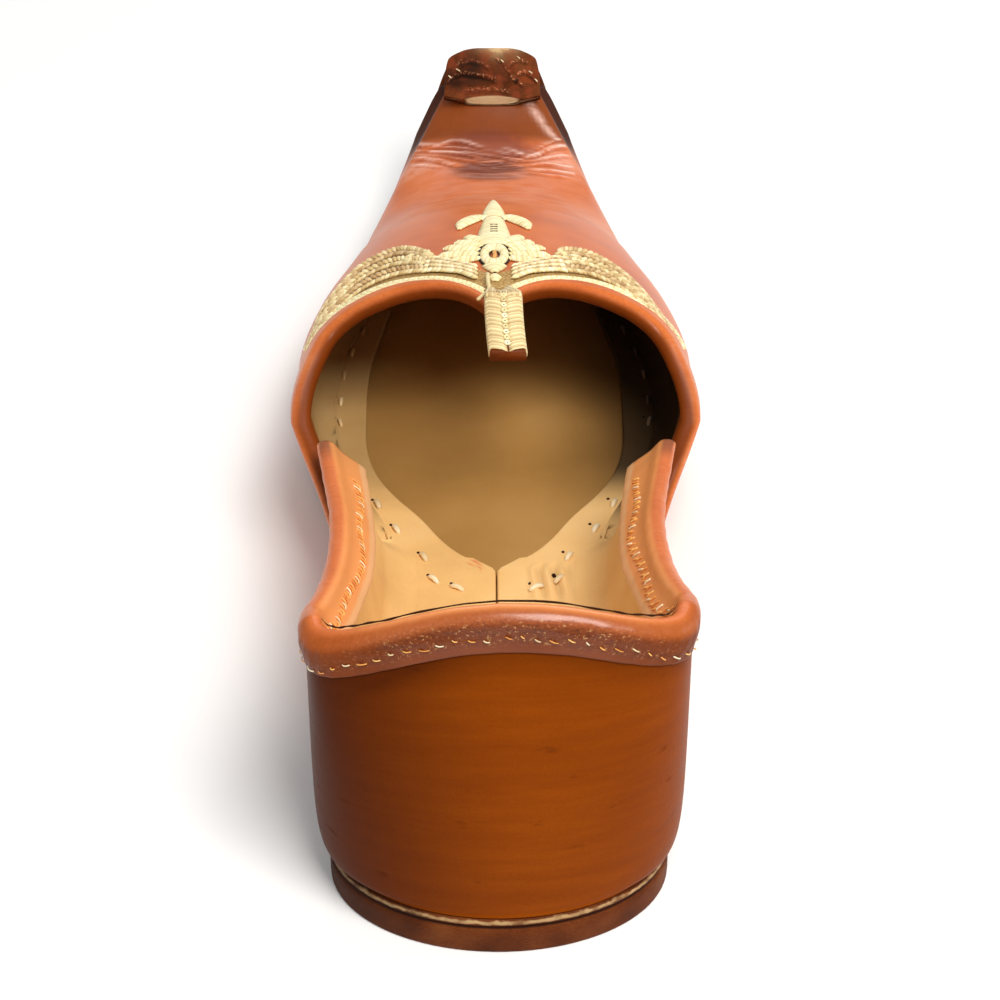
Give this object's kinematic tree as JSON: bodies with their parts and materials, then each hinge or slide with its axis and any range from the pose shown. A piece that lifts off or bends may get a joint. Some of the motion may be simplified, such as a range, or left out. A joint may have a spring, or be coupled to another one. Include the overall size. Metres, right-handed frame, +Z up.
{
  "type": "mojari shoe",
  "caption": "Flat leather slipper with a narrow waist, heart-shaped throat, bound collar and a toe that curls up and folds back.",
  "frame": {"origin": "centre of the bounding box's bottom face, on the floor under the waist", "axes": "+X to the wearer's right, +Y from heel to toe, +Z up"},
  "size_m": [0.0824, 0.2619, 0.065],
  "materials": {
    "sole_leather": "matt, dark brown",
    "insole_leather": "smooth, worn brown",
    "lining_leather": "soft, undyed tan",
    "quarter_leather": "satin, saddle brown",
    "vamp_leather": "glossy, orange brown",
    "binding_leather": "satin, orange tan",
    "tab_embroidery": "gold thread"
  },
  "bodies": {
    "root": {"outsole": "sole_leather", "insole": "insole_leather", "seat_lining_left": "lining_leather", "seat_lining_right": "lining_leather", "quarter": "quarter_leather", "vamp": "vamp_leather", "collar_binding": "binding_leather", "throat_binding": "binding_leather", "throat_tab": "tab_embroidery"}
  },
  "joints": []
}
